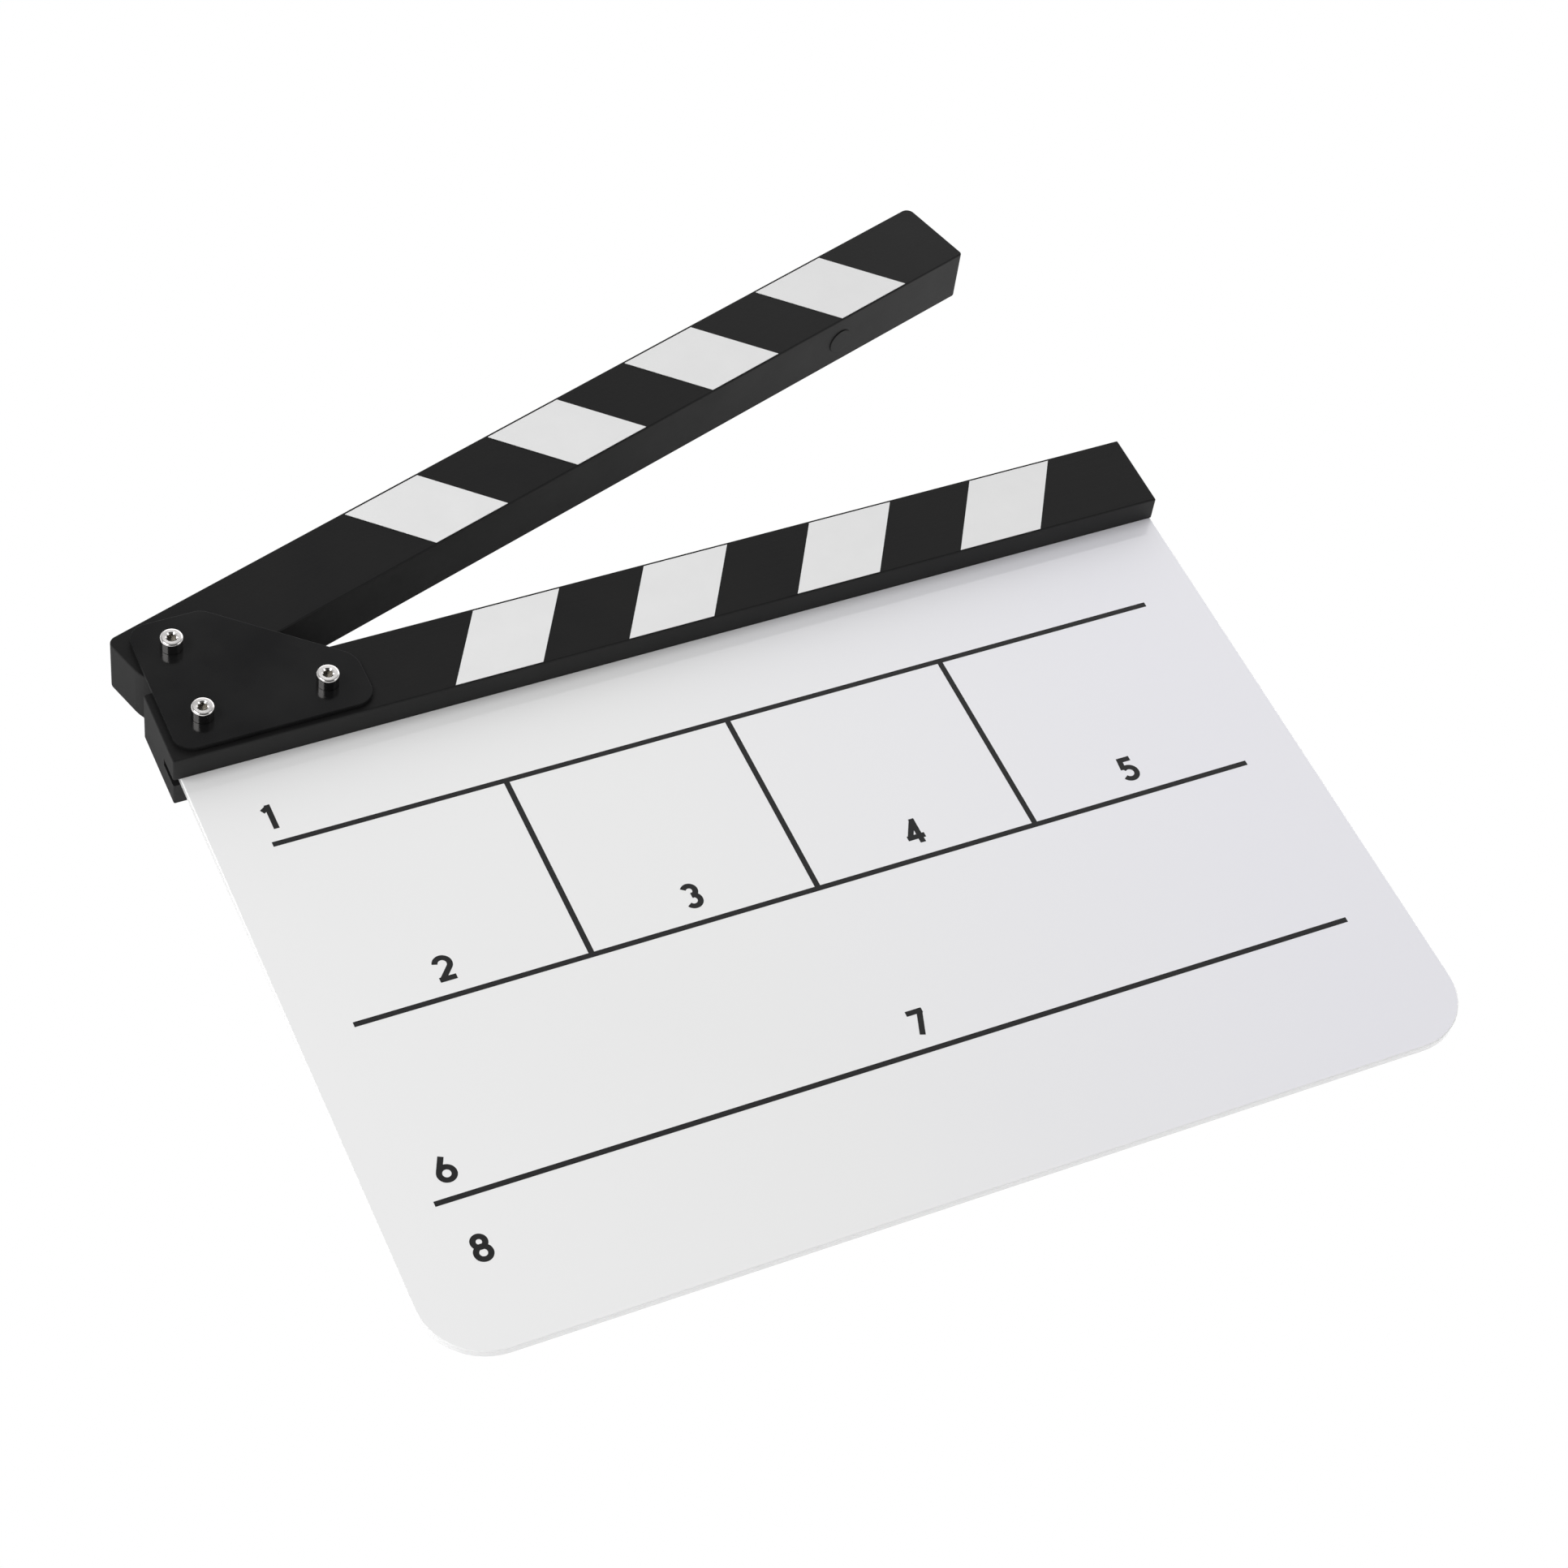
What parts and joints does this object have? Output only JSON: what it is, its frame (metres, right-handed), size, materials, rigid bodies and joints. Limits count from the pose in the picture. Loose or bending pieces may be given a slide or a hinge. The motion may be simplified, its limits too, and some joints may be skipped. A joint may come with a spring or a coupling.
{
  "type": "clapperboard",
  "caption": "Film clapperboard: a white writing board held in a slotted black stick, with a striped clapper stick that swings on a pivot screw between hinge plates.",
  "frame": {"origin": "middle of the footprint at the level of the screw tips, lying on its back with the writing face up and the clapper open as pictured", "axes": "+Z out of the writing face, +Y from the board's lower edge towards the sticks, +X along the lower stick from the hinge end"},
  "size_m": [0.3026, 0.3288, 0.0298],
  "materials": {
    "white_acrylic": "glossy opal white sheet with black print",
    "black_wood": "matte black paint over wood",
    "black_plate": "satin black sheet steel",
    "bright_screw": "bright nickel plate",
    "plated_nut": "zinc plate",
    "nylon": "natural nylon",
    "brass_bush": "turned brass",
    "magnet": "painted over in matte black with the stick",
    "white_vinyl": "semi-matte white vinyl"
  },
  "bodies": {
    "root": {"writing_board": "white_acrylic", "lower_stick": "black_wood", "front_hinge_plate": "black_plate", "rear_hinge_plate": "black_plate", "pivot_screw": "bright_screw", "pivot_locknut": "plated_nut", "pivot_locknut_ring": "nylon", "lower_magnet": "magnet", "fixing_screw_1": "bright_screw", "fixing_screw_2": "bright_screw", "fixing_washer_1": "plated_nut", "fixing_washer_2": "plated_nut", "fixing_nut_1": "plated_nut", "fixing_nut_2": "plated_nut", "lower_stripe_1": "white_vinyl", "lower_stripe_2": "white_vinyl", "lower_stripe_3": "white_vinyl", "lower_stripe_4": "white_vinyl"},
    "clapper": {"upper_stick": "black_wood", "pivot_bush": "brass_bush", "upper_magnet": "magnet", "upper_stripe_1": "white_vinyl", "upper_stripe_2": "white_vinyl", "upper_stripe_3": "white_vinyl", "upper_stripe_4": "white_vinyl"}
  },
  "joints": [
    {"name": "clapper_hinge", "type": "hinge", "parent": "root", "child": "clapper", "pos_m": [-0.13626, 0.0674, 0.0154], "axis": [0, 0, 1], "range_deg": [-17.2, 72.8]}
  ]
}
